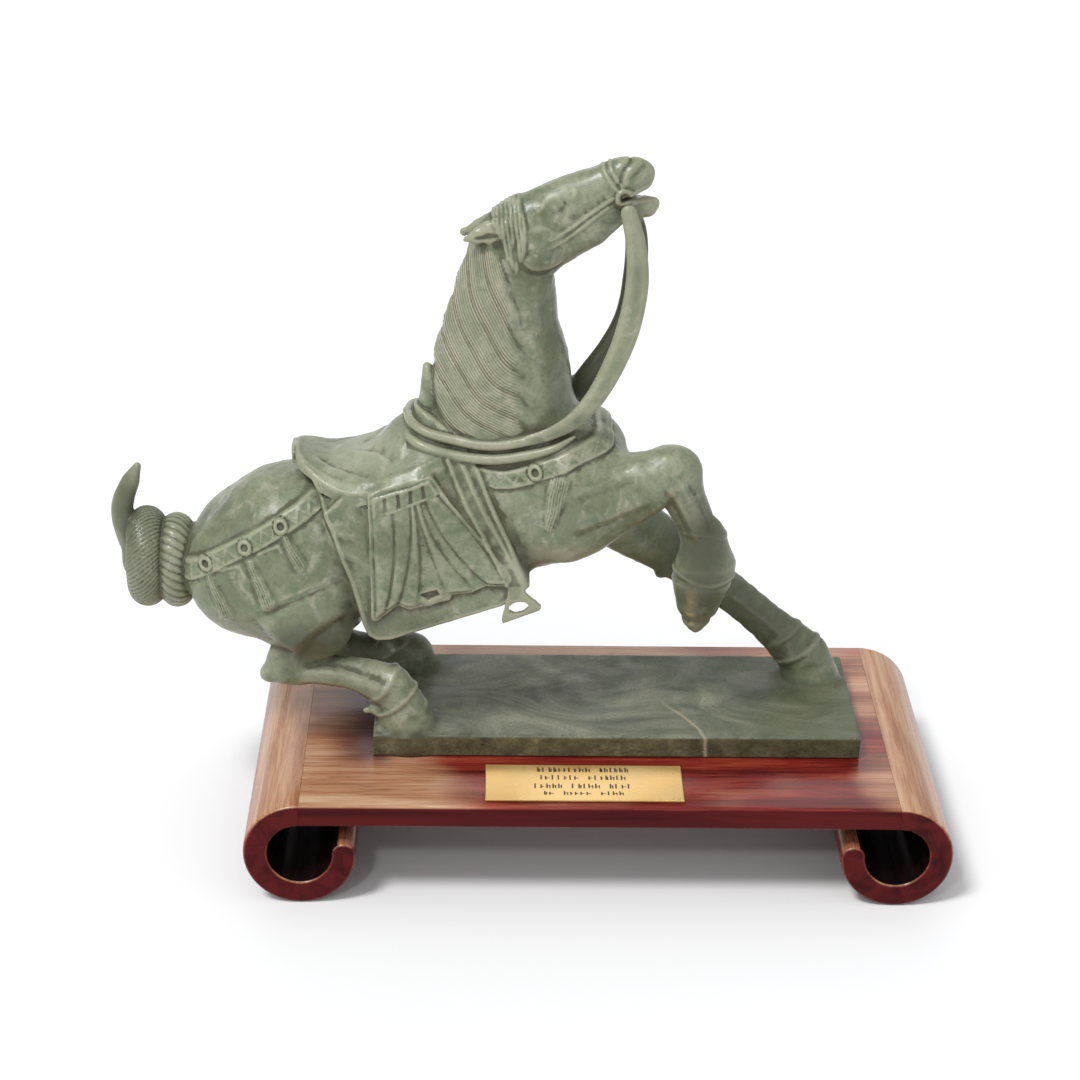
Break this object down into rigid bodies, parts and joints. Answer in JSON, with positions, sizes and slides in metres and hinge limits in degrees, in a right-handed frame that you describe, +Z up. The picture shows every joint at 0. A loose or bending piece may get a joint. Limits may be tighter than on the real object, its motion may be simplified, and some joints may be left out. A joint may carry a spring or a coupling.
{
  "type": "jade_horse_carving_with_stand",
  "caption": "Carved green stone horse, saddled and springing from a crouch, in one with its slab, on a glossy red scroll stand with a brass plaque",
  "frame": {"origin": "under the middle of the whole piece's box, on the surface that the stand rests on", "axes": "+X the way the horse faces, along the length of the stand; +Y to the horse's left, away from the plaque; +Z up"},
  "size_m": [0.4264, 0.1732, 0.3614],
  "materials": {
    "jade": "polished grey-green jade, a little cloudy, brown in the hollows",
    "lacquer": "gloss lacquer over red-brown wood with fine dark grain",
    "brass": "polished brass with rows of shallow dark strokes"
  },
  "bodies": {
    "root": {"horse_carving": "jade", "stand_top_board": "lacquer", "stand_scroll_left": "lacquer", "stand_scroll_right": "lacquer", "brass_plaque": "brass"}
  },
  "joints": []
}
